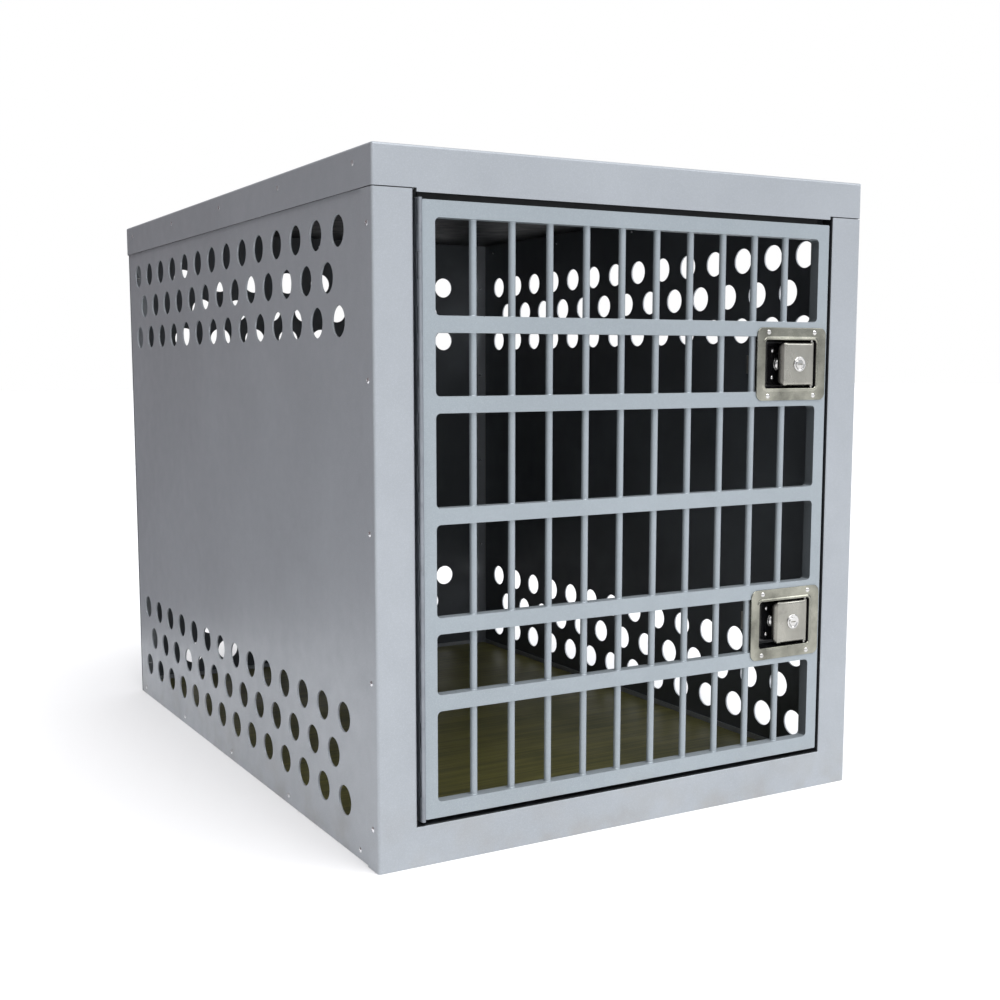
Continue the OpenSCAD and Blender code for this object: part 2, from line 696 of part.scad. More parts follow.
// The paddle: a plate with a rolled free edge, two side flanges, a knuckle and a tail.
module paddle(k) {
    x0 = pin_x - paddle_w;
    half = paddle_h / 2;
    face_y = pin_y - knuckle_r;
    roll_r = 3;
    color(zinc) at_latch(k) difference() {
        union() {
            translate([0, face_y, -half]) plate_xz(paddle_t) difference() {
                translate([x0 + roll_r, 0]) rounded(paddle_w - roll_r, paddle_h, paddle_corner_r);
                translate([pin_x, -eps]) square([paddle_w, paddle_h + 2 * eps]);
            }
            translate([pin_x - paddle_corner_r - 1, face_y, -half])
                cube([paddle_corner_r + 1, paddle_t, paddle_h]);
            // rolled free edge
            translate([x0 + roll_r, face_y + roll_r, -half + paddle_corner_r]) difference() {
                cylinder(h = paddle_h - 2 * paddle_corner_r, r = roll_r);
                translate([0, 0, -eps]) cylinder(h = paddle_h, r = roll_r - 1.5);
                translate([0, -2 * roll_r, -eps]) cube([2 * roll_r, 4 * roll_r, paddle_h]);
            }
            translate([x0 + roll_r - lap, face_y, -half + paddle_corner_r])
                cube([paddle_corner_r, 1.5, paddle_h - 2 * paddle_corner_r]);
            for (s = [-1, 1]) translate([x0 + 12, face_y, s * (half - 0.75) - 0.75])
                cube([paddle_w - 16, 7, 1.5]);
            translate([pin_x, pin_y, -half]) cylinder(h = paddle_h, r = knuckle_r);
            // tail
            translate([pin_x - tail_t / 2, pin_y, -tail_w / 2]) cube([tail_t, tail_l, tail_w]);
            translate([pin_x, pin_y + tail_l, -tail_w / 2]) cylinder(h = tail_w, r = tip_r);
        }
        translate([pin_x, pin_y, -half - eps]) cylinder(h = paddle_h + 2 * eps, r = paddle_pin_r + run_gap);
        translate([lock_x, face_y - eps, 0]) along_y(paddle_t + 2 * eps, lock_r + run_gap);
    }
}

// The lock plug: a domed face with a key slot, and a barrel through the paddle.
module lock_plug(k) {
    face_y = pin_y - knuckle_r;
    rim = 1.4;
    color(zinc) at_latch(k) translate([lock_x, face_y, 0]) difference() {
        union() {
            translate([0, -rim, 0]) along_y(rim - 0.05, lock_d / 2);
            translate([0, -0.2, 0]) along_y(lock_back - face_y + 0.2, lock_r);
        }
        translate([-3.5, -rim - eps, -0.8]) cube([7, 4 + rim + eps, 1.6]);
        translate([0, -rim - eps, 0]) along_y(0.5 + eps, 5.6);
    }
}

module lock_cam(k) {
    color(steel) at_latch(k) translate([lock_x, lock_back, 0]) {
        plate_xz(cam_t) {
            circle(4);
            translate([-3, 0]) square([6, 13]);
        }
    }
}

// The bolt: bevelled nose, a bore for its spring, and a slot for the paddle's tail.
module bolt(k) {
    slot_gap = 0.8;
    slot_w = 2 * (tip_r + slot_gap);
    nose = [[bolt_x0, bolt_y0], [bolt_x1, bolt_y0], [bolt_x1, bolt_y0 + 2],
            [bolt_x1 - 11, bolt_y1], [bolt_x0, bolt_y1]];
    color(steel) at_latch(k) difference() {
        translate([0, 0, -bolt_half]) linear_extrude(2 * bolt_half) polygon(nose);
        translate([bolt_x0 - eps, bolt_mid_y, 0]) along_x(bolt_bore_l + eps, bolt_bore_r);
        translate([pin_x - slot_w / 2, bolt_y0 - eps, -tail_w / 2 - 0.5])
            cube([slot_w, 7 + eps, tail_w + 1]);
    }
}

top_cap();
left_side_panel();
right_side_panel();
back_panel();
front_frame();
front_header();
floor_pan();
floor_board();
cap_rivets();
front_corner_rivets();
back_corner_rivets();
pan_rivets();
hinge_frame_leaf();
hinge_pin();
hinge_frame_rivets();
keeper(0);  // keeper_lower
keeper(1);  // keeper_upper
keeper_rivets();
door_frame();
for (i = [1 : rod_count - 1]) {
    door_rod(i);
}
door_rod_10_upper();
door_rod_10_middle();
door_rod_10_lower();
hinge_door_leaf();
hinge_door_rivets();
latch_dish(0);  // latch_dish_lower
latch_dish(1);  // latch_dish_upper
paddle_pin(0);  // paddle_pin_lower
paddle_pin(1);  // paddle_pin_upper
bolt_housing(0);  // bolt_housing_lower
bolt_housing(1);  // bolt_housing_upper
bolt_spring(0);  // bolt_spring_lower
bolt_spring(1);  // bolt_spring_upper
latch_rivets(0);  // latch_rivets_lower
latch_rivets(1);  // latch_rivets_upper
stop_stud(0);  // stop_stud_lower
stop_stud(1);  // stop_stud_upper
paddle(0);  // paddle_lower
paddle(1);  // paddle_upper
lock_plug(0);  // lock_plug_lower
lock_plug(1);  // lock_plug_upper
lock_cam(0);  // lock_cam_lower
lock_cam(1);  // lock_cam_upper
bolt(0);  // bolt_lower
bolt(1);  // bolt_upper
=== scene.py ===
import json
import math

import bmesh
import bpy
from mathutils import Matrix, Vector


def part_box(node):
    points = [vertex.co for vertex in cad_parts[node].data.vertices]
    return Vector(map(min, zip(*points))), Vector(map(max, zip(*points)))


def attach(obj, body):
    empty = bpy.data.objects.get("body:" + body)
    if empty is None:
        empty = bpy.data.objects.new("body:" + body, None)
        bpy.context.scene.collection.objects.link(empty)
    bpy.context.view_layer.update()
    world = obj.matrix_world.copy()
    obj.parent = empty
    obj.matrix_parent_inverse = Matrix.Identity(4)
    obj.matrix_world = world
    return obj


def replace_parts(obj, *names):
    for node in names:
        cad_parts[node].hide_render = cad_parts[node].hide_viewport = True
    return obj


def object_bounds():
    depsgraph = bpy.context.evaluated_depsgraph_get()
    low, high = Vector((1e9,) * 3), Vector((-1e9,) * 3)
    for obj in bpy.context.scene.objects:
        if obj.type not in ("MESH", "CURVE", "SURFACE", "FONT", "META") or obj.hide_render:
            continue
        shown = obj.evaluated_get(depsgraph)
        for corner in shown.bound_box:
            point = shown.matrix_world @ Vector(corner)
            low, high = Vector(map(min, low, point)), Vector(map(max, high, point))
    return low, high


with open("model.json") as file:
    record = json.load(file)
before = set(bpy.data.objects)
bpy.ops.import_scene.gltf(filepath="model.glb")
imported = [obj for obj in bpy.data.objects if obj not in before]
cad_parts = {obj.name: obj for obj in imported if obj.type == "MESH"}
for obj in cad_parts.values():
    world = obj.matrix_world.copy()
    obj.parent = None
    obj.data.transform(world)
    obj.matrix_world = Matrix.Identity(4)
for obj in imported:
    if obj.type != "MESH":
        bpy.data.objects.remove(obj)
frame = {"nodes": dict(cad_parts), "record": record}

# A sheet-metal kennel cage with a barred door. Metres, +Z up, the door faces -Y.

cad_box = [list(corner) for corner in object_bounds()]
nodes = frame["nodes"]
body_of = {n: b for b, members in frame["record"]["behaviour"]["bodies"].items() for n in members}
slot_of = {s["node"]: s["material_slot"] for s in frame["record"]["subparts"]}
low, high = Vector(cad_box[0]), Vector(cad_box[1])
mm = 0.001
weld_gap = 0.001 * mm  # points closer than this are one
latch_names = ("upper", "lower")


def in_scene(name, data):
    made = bpy.data.objects.new(name, data)
    bpy.context.scene.collection.objects.link(made)
    return made


# ---------------------------------------------------------------- camera, light and stage

def make_camera():
    """From the front left, a little above the middle of the cage, nearly level."""
    data = bpy.data.cameras.new("camera")
    data.sensor_width = 36
    data.lens = 47.505
    data.shift_x = 0.0398
    data.shift_y = 0.0228
    camera = in_scene("camera", data)
    camera.location = (-0.8468, -1.5825, 0.4997)
    downwards, roll, heading = 0.11634, 0.0032, -0.5016
    camera.rotation_euler = (math.pi / 2 - downwards, roll, heading)
    bpy.context.scene.camera = camera


def make_world():
    """Soft studio air, bright in front and dim at the back left. The backdrop itself is plain white."""
    world = bpy.data.worlds.new("studio")
    bpy.context.scene.world = world
    world.use_nodes = True
    tree = world.node_tree
    coords = tree.nodes.new("ShaderNodeTexCoord")
    dot = tree.nodes.new("ShaderNodeVectorMath")
    dot.operation = "DOT_PRODUCT"
    dot.inputs[1].default_value = (-0.8, 0.6, 0)
    ramp = tree.nodes.new("ShaderNodeValToRGB")
    bright, dim = ramp.color_ramp.elements
    bright.position, bright.color = 0.0, (0.86, 0.88, 0.92, 1)
    dim.position, dim.color = 0.75, (0.22, 0.185, 0.19, 1)
    air = tree.nodes["Background"]
    air.inputs["Strength"].default_value = 0.8
    backdrop = tree.nodes.new("ShaderNodeBackground")
    backdrop.inputs["Color"].default_value = (1, 1, 1, 1)
    path = tree.nodes.new("ShaderNodeLightPath")
    mix = tree.nodes.new("ShaderNodeMixShader")
    link = tree.links.new
    link(coords.outputs["Generated"], dot.inputs[0])
    link(dot.outputs["Value"], ramp.inputs["Fac"])
    link(ramp.outputs["Color"], air.inputs["Color"])
    link(path.outputs["Is Camera Ray"], mix.inputs["Fac"])
    link(air.outputs["Background"], mix.inputs[1])
    link(backdrop.outputs["Background"], mix.inputs[2])
    link(mix.outputs["Shader"], tree.nodes["World Output"].inputs["Surface"])
    bpy.context.scene.view_settings.view_transform = "Standard"


def soft_sun(name, towards, spread_deg, strength, colour=(1, 1, 1)):
    """A wide, even light that shines along a direction."""
    data = bpy.data.lights.new(name, "SUN")
    data.angle = math.radians(spread_deg)
    data.energy = strength
    data.color = colour
    lamp = in_scene(name, data)
    lamp.rotation_euler = Vector(towards).to_track_quat("-Z", "Y").to_euler()


def make_floor():
    half = 30
    just_below = 0.2 * mm
    z = low.z - just_below
    corners = [(-half, -half, z), (half, -half, z), (half, half, z), (-half, half, z)]
    mesh = bpy.data.meshes.new("floor")
    mesh.from_pydata(corners, [], [(0, 1, 2, 3)])
    floor = in_scene("floor", mesh)
    mesh.materials.append(pale_sweep())


def pale_sweep():
    """Plain pale paper. To the light that bounces off it, it ends a little way behind the cage's left."""
    f = Finish("pale_floor", Roughness=0.7)
    towards_back_left = (-0.64, 0.77, 0)
    along = f.put(f.node("VectorMath", operation="DOT_PRODUCT"), i0=f.place, i1=towards_back_left)
    ends = f.span(along.outputs["Value"], 0.85, 1.0)
    bounced = f.math("SUBTRACT", 1.0, f.node("LightPath").outputs["Is Camera Ray"])
    paper = f.blend(f.math("MULTIPLY", ends, bounced), (0.88, 0.88, 0.885), (0.13, 0.12, 0.13))
    return f.wire(Base_Color=paper)


# ---------------------------------------------------------------- finishes

class Finish:
    """A Principled material, with short calls for the textures that the finishes share.
    Textures are laid in the object's own frame, in metres, so they stay put as it moves."""

    def __init__(self, name, **values):
        self.material = bpy.data.materials.new(name)
        self.material.use_nodes = True
        self.tree = self.material.node_tree
        self.shader = self.tree.nodes["Principled BSDF"]
        self.place = self.node("TexCoord").outputs["Object"]
        for socket, value in values.items():
            self.shader.inputs[socket.replace("_", " ")].default_value = value

    def node(self, kind, **settings):
        made = self.tree.nodes.new("ShaderNode" + kind)
        for key, value in settings.items():
            setattr(made, key, value)
        return made

    def put(self, node, **inputs):
        """Sets or links a node's inputs, by name."""
        for name, value in inputs.items():
            socket = node.inputs[int(name[1:]) if name[0] == "i" and name[1:].isdigit() else name]
            if isinstance(value, bpy.types.NodeSocket):
                self.tree.links.new(value, socket)
            else:
                socket.default_value = value
        return node

    def stretched(self, scale):
        mapping = self.put(self.node("Mapping"), Vector=self.place, Scale=scale)
        return mapping.outputs["Vector"]

    def noise(self, per_metre, detail=3.0, stretch=None):
        place = self.stretched(stretch) if stretch else self.place
        made = self.put(self.node("TexNoise"), Vector=place, Scale=per_metre, Detail=detail)
        return made.outputs["Fac"]

    def cells(self, per_metre):
        made = self.put(self.node("TexVoronoi"), Vector=self.place, Scale=per_metre)
        return made.outputs["Color"]

    def span(self, value, start, end, to_start=0.0, to_end=1.0):
        """value mapped from start..end to to_start..to_end, and held there."""
        made = self.node("MapRange", clamp=True)
        self.put(made, i0=value, i1=start, i2=end, i3=to_start, i4=to_end)
        return made.outputs["Result"]

    def math(self, operation, a, b):
        made = self.put(self.node("Math", operation=operation), i0=a, i1=b)
        return made.outputs["Value"]

    def blend(self, factor, a, b):
        """Colour a where factor is 0, and b where it is 1."""
        made = self.node("Mix", data_type="RGBA")
        for index, value in ((0, factor), (6, a), (7, b)):
            if isinstance(value, bpy.types.NodeSocket):
                self.tree.links.new(value, made.inputs[index])
            else:
                made.inputs[index].default_value = value if index == 0 else (*value, 1)
        return made.outputs[2]

    def axis(self, which):
        return self.put(self.node("SeparateXYZ"), Vector=self.place).outputs[which]

    def edge(self):
        """1 on the rounded edges that rounded_copy() makes, and 0 elsewhere."""
        return self.node("Attribute", attribute_name="edge").outputs["Fac"]

    def bump(self, height, depth, under=None):
        made = self.put(self.node("Bump"), Height=height, Strength=1.0, Distance=depth)
        if under:
            self.tree.links.new(under, made.inputs["Normal"])
        return made.outputs["Normal"]

    def wire(self, **sockets):
        for name, value in sockets.items():
            self.tree.links.new(value, self.shader.inputs[name.replace("_", " ")])
        return self.material


def tint(colour, by):
    return tuple(min(1.0, c * by) for c in colour)


def powder_coat(name, colour, roughness=0.38):
    """Satin grey-blue powder coat: fine metallic grain, orange peel, slow unevenness and dust low down."""
    f = Finish(name, Metallic=0.35, IOR=1.5)
    cloud = f.noise(4.5, 3)
    mottle = f.noise(45, 5)
    grain = f.cells(1500)
    body = f.blend(f.span(cloud, 0.35, 0.65), tint(colour, 0.95), tint(colour, 1.04))
    body = f.blend(f.span(mottle, 0.3, 0.75, 0.0, 0.3), body, tint(colour, 0.88))
    grey = f.put(f.node("SeparateColor"), Color=grain).outputs[0]
    body = f.blend(f.span(grey, 0.55, 1.0, 0.0, 0.22), body, tint(colour, 1.5))
    rubbed = f.math("MULTIPLY", f.edge(), f.span(f.noise(70, 4), 0.42, 0.62))
    body = f.blend(f.math("MULTIPLY", rubbed, 0.6), body, tint(colour, 1.35))
    low_down = f.span(f.axis(2), 0.0, 0.07, 1.0, 0.0)
    dust = f.math("MULTIPLY", low_down, f.span(f.noise(24, 6), 0.45, 0.75, 0.0, 0.5))
    body = f.blend(dust, body, (0.33, 0.31, 0.28))
    smudge = f.span(f.noise(14, 5, stretch=(1, 1, 0.45)), 0.5, 0.72)
    shine = f.math("ADD", f.span(mottle, 0.3, 0.7, roughness - 0.05, roughness + 0.06),
                   f.math("MULTIPLY", smudge, 0.06))
    shine = f.math("ADD", shine, f.math("MULTIPLY", dust, 0.35))
    peel = f.bump(f.noise(420, 2), 0.035 * mm)
    slow = f.bump(f.noise(5.5, 1), 0.5 * mm, under=peel)
    return f.wire(Base_Color=body, Roughness=shine, Normal=slow)


def painted_shade_coat(name, colour):
    """A dark coat that is painted shade, for faces inside the cage and in the door's gaps; scuffed by what
    has lived in it.
    """
    f = Finish(name, Metallic=0.1, IOR=1.45)
    cloud = f.noise(6, 4)
    body = f.blend(f.span(cloud, 0.3, 0.7), tint(colour, 0.75), tint(colour, 1.25))
    scuffs = f.span(f.noise(30, 6, stretch=(1.0, 0.12, 1.0)), 0.6, 0.78)
    body = f.blend(f.math("MULTIPLY", scuffs, 0.2), body, tint(colour, 1.8))
    shine = f.span(f.noise(35, 4), 0.3, 0.7, 0.36, 0.55)
    return f.wire(Base_Color=body, Roughness=shine, Normal=f.bump(f.noise(420, 2), 0.03 * mm))


def faced_board(name):
    """Olive-brown faced plywood: fine streaks across the board, blotches, and scratches from claws."""
    f = Finish(name, IOR=1.48)
    streak = f.noise(26, 8, stretch=(0.25, 9.0, 1.0))
    fine = f.noise(120, 4, stretch=(0.12, 6.0, 1.0))
    blotch = f.noise(9, 4)
    dark, olive, ochre = (0.090, 0.086, 0.028), (0.172, 0.163, 0.046), (0.25, 0.225, 0.070)
    body = f.blend(f.span(streak, 0.36, 0.64), dark, olive)
    body = f.blend(f.span(fine, 0.52, 0.72, 0.0, 0.6), body, ochre)
    body = f.blend(f.span(blotch, 0.5, 0.75, 0.0, 0.45), body, (0.075, 0.08, 0.05))
    scratch = f.span(f.noise(60, 2, stretch=(7.0, 0.3, 1.0)), 0.69, 0.74)
    body = f.blend(f.math("MULTIPLY", scratch, 0.5), body, (0.24, 0.21, 0.12))
    shine = f.span(blotch, 0.3, 0.7, 0.34, 0.52)
    ridges = f.bump(fine, 0.12 * mm)
    return f.wire(Base_Color=body, Roughness=shine, Normal=f.bump(scratch, -0.1 * mm, under=ridges))


def metal(name, colour, roughness, brushed=(1, 1, 1), mark=0.5, tarnish_and_dark_reflection=0.86):
    """Bare or plated metal with fine brushing, finger marks, a few dull spots, and darker clouds: tarnished
    metal, and where they are deep, painted dark reflections.
    """
    f = Finish(name, Metallic=1.0, IOR=2.5)
    brush = f.noise(260, 5, stretch=brushed)
    spots = f.noise(90, 5)
    haze = f.noise(32, 4)
    body = f.blend(f.span(haze, 0.35, 0.7), tint(colour, 1.05), tint(colour, tarnish_and_dark_reflection))
    body = f.blend(f.span(spots, 0.62, 0.76, 0.0, mark), body, tint(colour, 0.6))
    shine = f.math("ADD", f.span(brush, 0.3, 0.7, roughness * 0.8, roughness * 1.25),
                   f.span(haze, 0.45, 0.75, 0.0, 0.12))
    return f.wire(Base_Color=body, Roughness=shine, Normal=f.bump(brush, 0.012 * mm))


def recess_shade_gloss(name):
    """Near-black gloss in the finger recess, standing for its shade and dark reflection as painted shade,
    with a little dust.
    """
    f = Finish(name, IOR=1.5, Coat_Weight=0.4, Coat_Roughness=0.08)
    dust = f.span(f.noise(140, 6), 0.5, 0.8)
    body = f.blend(f.math("MULTIPLY", dust, 0.25), (0.006, 0.006, 0.007), (0.05, 0.047, 0.042))
    shine = f.span(f.noise(70, 4), 0.3, 0.7, 0.1, 0.24)
    return f.wire(Base_Color=body, Roughness=shine, Normal=f.bump(f.noise(200, 2), 0.02 * mm))


body_colour = (0.36, 0.385, 0.415)
door_colour = (0.315, 0.355, 0.385)
finishes = {
    "body_paint": powder_coat("body_powder_coat", body_colour),
    "door_paint": powder_coat("door_powder_coat", door_colour, 0.36),
    "floor_board": faced_board("faced_board"),
    "rivets": metal("rivet_aluminium", (0.80, 0.81, 0.83), 0.24),
    "hinge_metal": metal("hinge_aluminium", (0.30, 0.32, 0.35), 0.42, (1, 1, 0.2)),
    # The dish's deep dark clouds are painted dark reflections as well as tarnish.
    "latch_dish": metal("dish_stainless", (0.355, 0.353, 0.30), 0.18, (0.3, 1, 1), tarnish_and_dark_reflection=0.45),
    "latch_paddle": metal("paddle_zinc", (0.375, 0.368, 0.33), 0.28, (1, 1, 0.15), tarnish_and_dark_reflection=0.8),
    "latch_bright": metal("polished_chrome", (0.62, 0.615, 0.60), 0.12, mark=0.2),
    "latch_steel": metal("plated_steel", (0.58, 0.57, 0.54), 0.34, (0.2, 1, 1)),
    "spring_steel": metal("spring_wire", (0.36, 0.35, 0.34), 0.32),
}
# Painted shade: a dark coat for the faces inside the cage, in place of the body paint.
inner_shade_paint = painted_shade_coat("painted_shade_coat", (0.080, 0.089, 0.100))
# Near-black painted shade, for the cap's underside and the doorway faces.
deep_shade_paint = painted_shade_coat("deep_shade_coat", (0.009, 0.010, 0.012))
# Painted shade: a darker copy of the door paint for the windows' side reveals.
reveal_shade_paint = powder_coat("door_reveal_shade_coat", tint(door_colour, 0.35), 0.36)
# Painted shade and dark reflection: the black of the finger recess.
recess_painted_shade = recess_shade_gloss("recess_painted_shade_and_reflection")


# ---------------------------------------------------------------- mesh helpers

def piece_from(work, name, node, *skins, smooth_deg=40, weighted=True):
    """A finished mesh as a piece: shaded, on the node's body and slot, and standing for the node."""
    mesh = bpy.data.meshes.new(name)
    work.to_mesh(mesh)
    work.free()
    for skin in skins or (finishes[slot_of[node]],):
        mesh.materials.append(skin)
    mesh.shade_smooth()
    mesh.set_sharp_from_angle(angle=math.radians(smooth_deg))
    piece = in_scene(name, mesh)
    if weighted:
        piece.modifiers.new("flat_faces", "WEIGHTED_NORMAL").keep_sharp = True
    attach(piece, body_of[node])
    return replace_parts(piece, node)


def welded_mesh(node):
    """The CAD node as one clean shell, its flat faces joined up again."""
    work = bmesh.new()
    work.from_mesh(nodes[node].data)
    bmesh.ops.remove_doubles(work, verts=work.verts, dist=weld_gap)
    bmesh.ops.dissolve_limit(work, angle_limit=math.radians(0.3), verts=work.verts, edges=work.edges)
    return work


def rounded_copy(node, radius, steps=3, inside=None, wanted=None, inner=None):
    """A copy of a CAD node with its sharp edges rounded over, as deburred and painted metal has.
    inside(face) says which faces get a second finish, a darker coat that is painted shade: inner, or else
    inner_shade_paint. wanted(edge) says which sharp edges are rounded."""
    work = welded_mesh(node)
    sharp = [e for e in work.edges if len(e.link_faces) == 2 and e.calc_face_angle(0) > math.radians(30)]
    if wanted:
        sharp = [e for e in sharp if wanted(e)]
    edge = work.faces.layers.float.new("edge")
    made = bmesh.ops.bevel(work, geom=sharp, offset=radius, segments=steps, profile=0.5,
                           affect="EDGES", clamp_overlap=True)
    for face in made["faces"]:
        face[edge] = 1.0
    if inside:
        for face in work.faces:
            face.material_index = int(inside(face))
    skins = (finishes[slot_of[node]], inner or inner_shade_paint) if inside else ()
    return piece_from(work, node + "_finished", node, *skins)


def islands(node):
    """The low and high corners of each separate solid in a CAD node."""
    work = bmesh.new()
    work.from_mesh(nodes[node].data)
    bmesh.ops.remove_doubles(work, verts=work.verts, dist=weld_gap)
    found, seen = [], set()
    for start in work.verts:
        if start in seen:
            continue
        queue, group = [start], []
        seen.add(start)
        while queue:
            vert = queue.pop()
            group.append(vert.co.copy())
            for e in vert.link_edges:
                other = e.other_vert(vert)
                if other not in seen:
                    seen.add(other)
                    queue.append(other)
        found.append([Vector([pick(p[i] for p in group) for i in range(3)]) for pick in (min, max)])
    work.free()
    return found


def lathe(work, profile, base, axis, sides=32, skin=0):
    """Turns a profile of (radius, height) points about an axis through base. Ends at radius 0 are closed."""
    turn = Vector((0, 0, 1)).rotation_difference(Vector(axis)).to_matrix()
    rings = []
    for radius, height in profile:
        if radius == 0:
            rings.append([work.verts.new(turn @ Vector((0, 0, height)) + base)])
            continue
        angles = [2 * math.pi * k / sides for k in range(sides)]
        points = [Vector((radius * math.cos(a), radius * math.sin(a), height)) for a in angles]
        rings.append([work.verts.new(turn @ p + base) for p in points])
    for a, b in zip(rings, rings[1:]):
        for k in range(sides):
            n = (k + 1) % sides
            if len(a) == 1:
                corners = (a[0], b[n], b[k])
            elif len(b) == 1:
                corners = (a[k], a[n], b[0])
            else:
                corners = (a[k], a[n], b[n], b[k])
            work.faces.new(corners).material_index = skin


def arc(centre, radius, start_deg, end_deg, steps):
    """Points of an arc in a profile, as (radius, height)."""
    turns = [math.radians(start_deg + (end_deg - start_deg) * k / steps) for k in range(steps + 1)]
    return [(centre[0] + radius * math.cos(t), centre[1] + radius * math.sin(t)) for t in turns]


def ring(left, right, half_h, r_left, r_right, y, steps=6):
    """A rounded rectangle in the plane of the door, seen from the front, as points in order."""
    points = []
    corners = ((right - r_right, half_h - r_right, r_right, 0),
               (left + r_left, half_h - r_left, r_left, 90),
               (left + r_left, r_left - half_h, r_left, 180),
               (right - r_right, r_right - half_h, r_right, 270))
    for x, z, r, start in corners:
        for k in range(steps + 1):
            a = math.radians(start + 90 * k / steps)
            points.append(Vector((x + r * math.cos(a), y, z + r * math.sin(a))))
    return points


def loft(work, rings, base, skins=None):
    """Joins rings of equal count by quads, and closes the first and the last. Rings run so that the
    surface faces the viewer as they go inwards on the front. skins gives each band's material."""
    rows = [[work.verts.new(p + base) for p in points] for points in rings]
    count = len(rows[0])
    for band, (a, b) in enumerate(zip(rows, rows[1:])):
        for k in range(count):
            n = (k + 1) % count
            face = work.faces.new((a[k], a[n], b[n], b[k]))
            face.material_index = skins[band] if skins else 0
    ends = (work.faces.new(rows[0][::-1]), work.faces.new(rows[-1]))
    for face, band in zip(ends, (0, -1)):
        face.material_index = skins[band] if skins else 0
    return ends


def block(work, corner_a, corner_b, radius, steps=2):
    """A box with rounded edges."""
    a, b = Vector(corner_a), Vector(corner_b)
    place = Matrix.Translation((a + b) / 2) @ Matrix.Diagonal((*(b - a), 1))
    made = bmesh.ops.create_cube(work, size=1, matrix=place)
    edges = list({e for v in made["verts"] for e in v.link_edges})
    bmesh.ops.bevel(work, geom=edges, offset=radius, segments=steps, profile=0.5, affect="EDGES")


def cut_out(piece, cutter_work):
    """Cuts a closed shape out of a piece for good."""
    mesh = bpy.data.meshes.new("cutter")
    cutter_work.to_mesh(mesh)
    cutter_work.free()
    cutter = in_scene("cutter", mesh)
    cut = piece.modifiers.new("cut", "BOOLEAN")
    cut.operation, cut.solver, cut.object = "DIFFERENCE", "EXACT", cutter
    while piece.modifiers[0] != cut:
        bpy.context.view_layer.objects.active = piece
        bpy.ops.object.modifier_move_up(modifier="cut")
    graph = bpy.context.evaluated_depsgraph_get()
    others = [m for m in piece.modifiers if m != cut]
    for m in others:
        m.show_viewport = False
    graph.update()
    result = bpy.data.meshes.new_from_object(piece.evaluated_get(graph))
    piece.modifiers.remove(cut)
    for m in others:
        m.show_viewport = True
    piece.data = result
    bpy.data.objects.remove(cutter)


# ---------------------------------------------------------------- sheet metal

def looks(*direction):
    """Says whether a face looks along a direction."""
    return lambda face: face.normal.dot(Vector(direction)) > 0.5


def doorway():
    """Says whether a face looks into the cage, or stands beside the door behind the rounded front edge. These
    faces get near-black painted shade.
    """
    door_low, door_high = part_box("door_frame")
    gap, edge = 8 * mm, 0.7 * mm

    def within(face):
        p = face.calc_center_median()
        beside = door_low.x - gap < p.x < door_high.x + gap and p.z > door_low.z - gap
        return face.normal.y > 0.5 or (beside and p.y > door_low.y + edge)

    return within


def make_sheets():
    # Inside faces get a darker coat as painted shade; the cap's underside and the doorway get a near-black
    # one as deeper painted shade.
    rounded_copy("top_cap", 0.6 * mm, 3, inside=looks(0, 0, -1), inner=deep_shade_paint)
    rounded_copy("left_side_panel", 0.35 * mm, 2, inside=looks(1, 0, 0))
    rounded_copy("right_side_panel", 0.35 * mm, 2, inside=looks(-1, 0, 0))
    rounded_copy("back_panel", 0.35 * mm, 2, inside=looks(0, -1, 0))
    rounded_copy("front_frame", 0.6 * mm, 3, inside=doorway(), inner=deep_shade_paint)
    rounded_copy("front_header", 0.4 * mm, 2, inside=doorway(), inner=deep_shade_paint)
    rounded_copy("floor_pan", 0.4 * mm, 2)
    rounded_copy("floor_board", 1.5 * mm, 4)


# ---------------------------------------------------------------- door

def make_door_frame():
    """The door's plate, its rims rounded over on both faces, with the rods' bores left sharp. The windows'
    side reveals get a darker copy of the door paint as painted shade.
    """
    front, back = (corner.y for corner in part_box("door_frame"))
    left, right = (corner.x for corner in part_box("door_frame"))
    rim = 5 * mm

    def on_a_face(edge):
        ys = [v.co.y for v in edge.verts]
        return any(max(abs(y - face) for y in ys) < 0.01 * mm for face in (front, back))

    def reveal(face):
        p = face.calc_center_median()
        return abs(face.normal.x) > 0.7 and left + rim < p.x < right - rim

    rounded_copy("door_frame", 2.0 * mm, 4, inside=reveal, wanted=on_a_face, inner=reveal_shade_paint)


def window_rows():
    """The bottom and top of each row of windows, told by the ends of the last rod's three pieces."""
    seat = 9 * mm
    ends = [[corner.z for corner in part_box("door_rod_10_" + part)] for part in ("lower", "middle", "upper")]
    (z0, z1), (z2, z3), (z4, z5) = [(low_end + seat, high_end - seat) for low_end, high_end in ends]
    tall = z1 - z0
    bar = z3 - z2 - 2 * tall
    return [(z0, z1), (z1 + bar, z2 - bar), (z2, z2 + tall), (z3 - tall, z3), (z3 + bar, z4 - bar), (z4, z5)]


